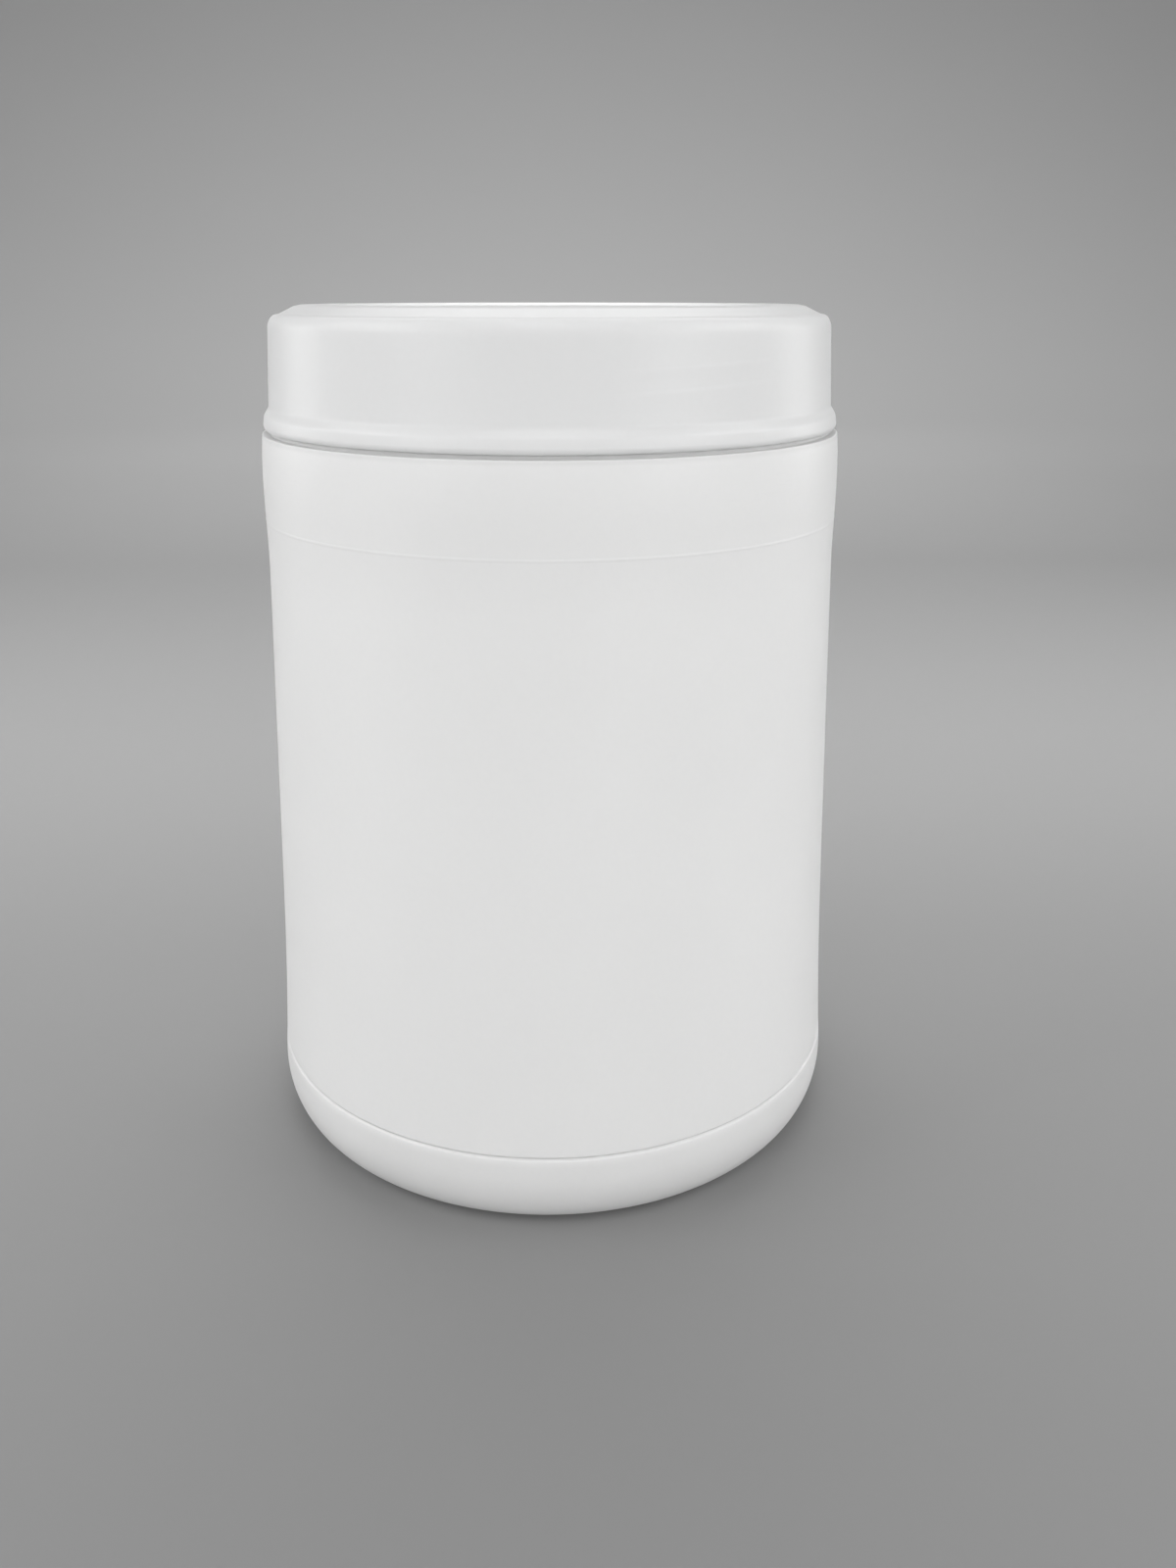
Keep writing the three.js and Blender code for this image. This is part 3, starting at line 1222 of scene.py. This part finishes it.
@dataclass
class Studio:
    """The pale sweep under and round the jar, its lights, and the sky above with its dimmer zenith."""

    floor_radius: float = 1.30
    sweep_radius: float = 2.00
    rim_height: float = 2.00
    floor_gap: float = 0.00005
    curve_steps: int = 48
    columns: int = 128
    paper_cloud_size: float = 0.3
    paper_cloud_amount: float = 0.02
    paper_roughness: float = 0.9
    paper_shine: float = 0.1
    grey: float = 0.282
    sky_low: float = 0.37
    sky_high: float = 0.0
    sky_change: tuple[float, float] = (0.55, 0.95)
    softboxes: tuple[Softbox, ...] = (
        Softbox.round_jar("side_left", -75.0, 28.0, 0.8, (0.5, 0.4), 1.95),
        Softbox.round_jar("side_right", 75.0, 28.0, 0.8, (0.5, 0.4), 1.62),
        Softbox.round_jar("front_left", -45.0, 10.0, 0.8, (0.5, 0.3), 1.26),
        Softbox.round_jar("front", 0.0, 10.0, 0.8, (0.5, 0.3), 0.87),
        Softbox.round_jar("front_right", 45.0, 10.0, 0.8, (0.5, 0.3), 1.58),
        Softbox.round_jar("front_high", 0.0, 52.0, 0.8, (0.5, 0.4), 1.18),
        Softbox.round_jar("edge_left", -110.0, 2.0, 0.9, (0.3, 0.5), 1.49),
        Softbox.round_jar("edge_right", 110.0, 2.0, 0.9, (0.3, 0.5), 1.23),
        Softbox.round_jar("over_back", 180.0, 65.0, 0.9, (1.0, 0.6), 0.30),
        Softbox("beam_left", (-0.423, -0.154, 0.045), (0.0, 0.0, 0.045), 0.25, 0.05, 0.012, BEAM_SPREAD),
        Softbox("beam_middle", (0.19, -0.408, 0.045), (0.0, 0.0, 0.045), 0.25, 0.05, 0.011, BEAM_SPREAD),
        Softbox("beam_right", (0.423, -0.154, 0.045), (0.0, 0.0, 0.045), 0.25, 0.05, 0.004, BEAM_SPREAD),
        Softbox("wall_wash", (0.0, 0.9, 1.0), (0.0, 2.4, 0.4), 1.4, 0.5, 29.0),
        Softbox("wall_high", (0.0, 0.8, 1.3), (0.0, 2.3, 0.7), 1.6, 0.5, 4.0, 90.0),
        Softbox("wall_left", (-0.9, 0.0, 1.0), (-2.4, 0.0, 0.4), 1.4, 0.5, 14.0),
        Softbox("wall_right", (0.9, 0.0, 1.0), (2.4, 0.0, 0.4), 1.4, 0.5, 14.0),
        Softbox("wall_opposite", (0.0, -0.9, 1.0), (0.0, -2.4, 0.4), 1.4, 0.5, 14.0),
        Softbox("floor_near", (0.0, 0.12, 0.6), (0.0, 0.12, 0.0), 0.9, 0.3, 0.15, 100.0),
        Softbox("floor_back", (0.0, 0.16, 0.45), (0.0, 0.16, 0.0), 0.9, 0.1, 0.32, 70.0),
        Softbox("floor_far", (0.0, 0.5, 0.7), (0.0, 0.5, 0.0), 1.0, 0.4, 2.5, 110.0),
    )

    def sweep_material(self) -> bpy.types.Material:
        """Makes the matt paper of the sweep, with a faint unevenness.

        Returns:
            The material.
        """
        made = bpy.data.materials.new("sweep_paper")
        made.use_nodes = True
        made.node_tree.nodes.clear()
        graph = Graph(made.node_tree)
        place = graph.add("ShaderNodeTexCoord").outputs["Object"]
        clouds = graph.swing(place, self.paper_cloud_size, seed=0.5, detail=1.0)
        shade = graph.math("MULTIPLY_ADD", clouds, self.paper_cloud_amount, 1.0)
        values = {
            "Base Color": graph.scaled((self.grey, self.grey, self.grey), shade),
            "Roughness": self.paper_roughness,
            "Specular IOR Level": self.paper_shine,
        }
        shader = graph.add("ShaderNodeBsdfPrincipled", values)
        graph.add("ShaderNodeOutputMaterial", {"Surface": shader.outputs["BSDF"]})
        return made

    def build_sweep(self, turned: Graph) -> bpy.types.Object:
        """Makes the round sweep: a flat floor that curves up on all sides.

        Args:
            turned: The group that turns an outline.

        Returns:
            The sweep's object.
        """
        foot, rise = (self.floor_radius, self.rim_height - self.floor_gap), self.rim_height
        curve = ellipse_arc(foot, self.sweep_radius, rise, -90, 0, self.curve_steps)
        outline = soften([Corner(0.0, -self.floor_gap), *curve])
        values = {"Columns": self.columns, "Material": self.sweep_material()}
        sweep = turned_piece("sweep", outline, piece_tree("sweep_shape", turned), values)
        return sweep

    def build_sky(self) -> None:
        """Makes the soft light from above the sweep, which changes in strength towards the zenith."""
        world = bpy.data.worlds.new("sky")
        world.use_nodes = True
        world.node_tree.nodes.clear()
        graph = Graph(world.node_tree)
        ray = graph.add("ShaderNodeTexCoord").outputs["Generated"]
        share = graph.smooth_step(graph.axes(ray)["Z"], *self.sky_change)
        strength = graph.math("MULTIPLY_ADD", share, self.sky_high - self.sky_low, self.sky_low)
        light = graph.add("ShaderNodeBackground", {"Color": (1.0, 1.0, 1.0, 1.0), "Strength": strength})
        graph.add("ShaderNodeOutputWorld", {"Surface": light.outputs["Background"]})
        bpy.context.scene.world = world

    def build(self, turned: Graph) -> None:
        """Makes the whole studio.

        Args:
            turned: The group that turns an outline.
        """
        self.build_sweep(turned)
        self.build_sky()
        for softbox in self.softboxes:
            softbox.build()


@dataclass(frozen=True)
class StudioCamera:
    """The camera that took the photograph. Angles are in degrees, focal length and frame in millimetres."""

    place: Spot = (0.0, -0.2434, 0.14613)
    turn_right: float = 1.53
    tilt_down: float = 10.53
    focal_length: float = 31.608
    frame_long_side: float = 36.0
    shift_up: float = -0.15
    nearest: float = 0.01
    farthest: float = 20.0

    def build(self) -> bpy.types.Object:
        """Makes the camera and hands it to the scene.

        Returns:
            The camera.
        """
        data = bpy.data.cameras.new("camera")
        data.lens = self.focal_length
        data.sensor_width = self.frame_long_side
        data.shift_y = self.shift_up
        data.clip_start, data.clip_end = self.nearest, self.farthest
        camera = bpy.data.objects.new("camera", data)
        camera.location = self.place
        camera.rotation_euler = (math.radians(90.0 - self.tilt_down), 0.0, math.radians(-self.turn_right))
        bpy.context.scene.collection.objects.link(camera)
        bpy.context.scene.camera = camera
        return camera


def adopt(piece: bpy.types.Object, node: CadNode) -> None:
    """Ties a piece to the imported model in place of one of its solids, and reports it.

    Args:
        piece: The finished piece.
        node: The solid that it stands for.
    """
    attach(piece, Body.ROOT.value)
    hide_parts(node.value)
    LOG.info("%s: %d faces, in place of %s", piece.name, len(piece.data.polygons), node.value)


def main() -> None:
    """Builds the camera, the jar, the lid and the studio."""
    logging.basicConfig(level=logging.INFO, format="%(message)s")
    bpy.context.scene.view_settings.view_transform = "Standard"
    StudioCamera().build()
    turned = turned_shape()
    groups = PlasticGroups()
    jar = JarBody.from_frame()
    lid = ScrewLid.from_frame()
    jar_plastic = SatinPlastic(
        name="jar_plastic",
        colour=(0.77, 0.77, 0.768),
        roughness=0.42,
        scuffed_bands=(
            ScuffedBand(height=0.001, width=0.004),
            ScuffedBand(height=jar.heel_height, width=0.004),
            ScuffedBand(height=jar.shoulder_crest, width=0.005),
        ),
        # Painted shade: the heel darker towards the floor, a dark line in the groove above it, and the crease
        # just under the lid's edge
        soiled_bands=(
            PaintedShadeBand(height=jar.lip_height / 2, width=0.0066, full_width=0.0052, darkening=0.06),
            PaintedShadeBand(height=jar.groove_height - 0.0001, width=0.0005, full_width=0.0, darkening=0.10),
            PaintedShadeBand(height=jar.ledge_height, width=0.0011, full_width=0.0003, darkening=0.07),
        ),
    )
    lid_plastic = SatinPlastic(
        name="lid_plastic",
        # The lid's white is set a little darker than the jar's: painted shade, which keeps the lid's top edge
        # from coming out too bright
        colour=(0.73, 0.732, 0.733),
        roughness=0.40,
        scuffed_bands=(
            ScuffedBand(height=lid.seat + lid.bead_lower_rise, width=0.002),
            ScuffedBand(height=lid.seat + lid.skirt_top, width=0.002),
        ),
        relief_depth=0.000008,
        scatter_reach=0.0025,
        line_share=0.5,
    )
    adopt(jar.build(turned, jar_plastic.material(groups)), CadNode.JAR)
    adopt(lid.build(turned, lid_plastic.material(groups)), CadNode.LID)
    Studio().build(turned)


if __name__ == "__main__":
    main()
